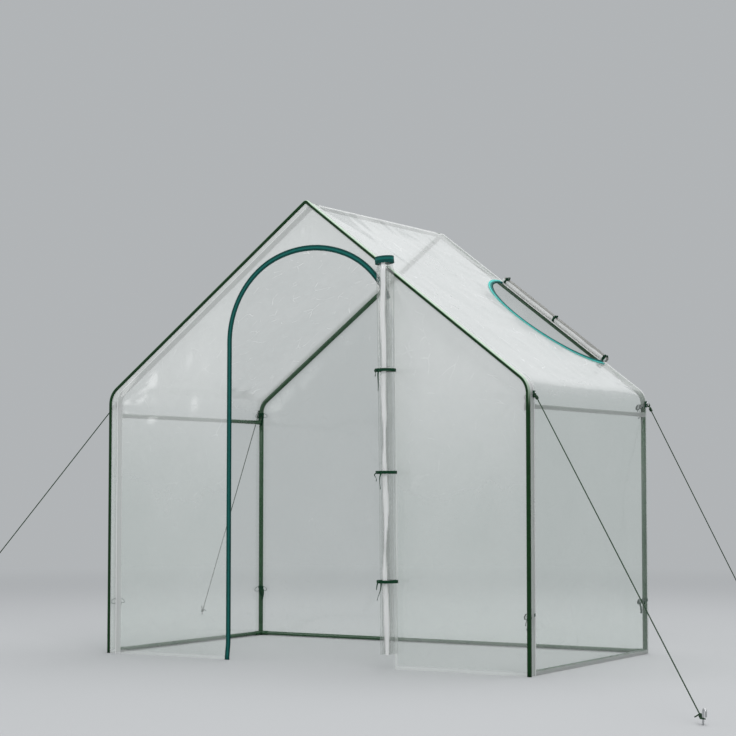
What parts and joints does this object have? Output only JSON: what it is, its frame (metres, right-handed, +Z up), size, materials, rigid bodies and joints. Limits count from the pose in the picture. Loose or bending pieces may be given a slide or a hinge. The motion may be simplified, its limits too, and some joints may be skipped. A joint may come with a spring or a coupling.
{
  "type": "tunnel greenhouse with gable roof",
  "caption": "Small walk-in greenhouse: clear film cover on a push-together steel tube frame, with an arched doorway, rolled door flap, roof vent and guy ropes.",
  "frame": {"origin": "on the ground, at the centre of the whole part's plan box, pegs included", "axes": "+Z up, -Y to the front with the doorway, +X to the right seen from the front, along the gable's width"},
  "size_m": [3.7578, 2.881, 1.6871],
  "materials": {
    "green_tube": "dark green powder coat",
    "clear_film": "clear soft PVC film, a little milky",
    "rolled_film": "many turns of clear film, milky and glossy",
    "green_piping": "dark green woven binding tape",
    "teal_zip": "teal woven zip tape with a moulded coil",
    "green_tape": "dark green woven tying tape",
    "green_rope": "dark green braided cord",
    "peg_steel": "bright zinc-plated wire"
  },
  "bodies": {
    "root": {"cover_ties": "green_tape", "door_roll": "rolled_film", "door_roll_strap": "teal_zip", "door_zip": "teal_zip", "front_gable": "clear_film", "front_left_eave_joint": "green_tube", "front_left_foot": "green_tube", "front_left_guy_rope": "green_rope", "front_left_post": "green_tube", "front_left_rafter": "green_tube", "front_piping": "green_piping", "front_ridge_joint": "green_tube", "front_right_eave_joint": "green_tube", "front_right_foot": "green_tube", "front_right_guy_rope": "green_rope", "front_right_post": "green_tube", "front_right_rafter": "green_tube", "front_wall_left": "clear_film", "front_wall_right": "clear_film", "ground_pegs": "peg_steel", "guy_tabs": "green_tape", "left_eave_rail": "green_tube", "left_ground_rail": "green_tube", "left_roof": "clear_film", "left_wall": "clear_film", "rear_ground_rail": "green_tube", "rear_left_eave_joint": "green_tube", "rear_left_foot": "green_tube", "rear_left_guy_rope": "green_rope", "rear_left_post": "green_tube", "rear_left_rafter": "green_tube", "rear_ridge_joint": "green_tube", "rear_right_eave_joint": "green_tube", "rear_right_foot": "green_tube", "rear_right_guy_rope": "green_rope", "rear_right_post": "green_tube", "rear_right_rafter": "green_tube", "rear_wall": "clear_film", "ridge_pole": "green_tube", "right_eave_rail": "green_tube", "right_ground_rail": "green_tube", "right_roof": "clear_film", "right_wall": "clear_film", "roll_ties": "green_tape", "vent_roll": "rolled_film", "vent_zip": "teal_zip"}
  },
  "joints": []
}
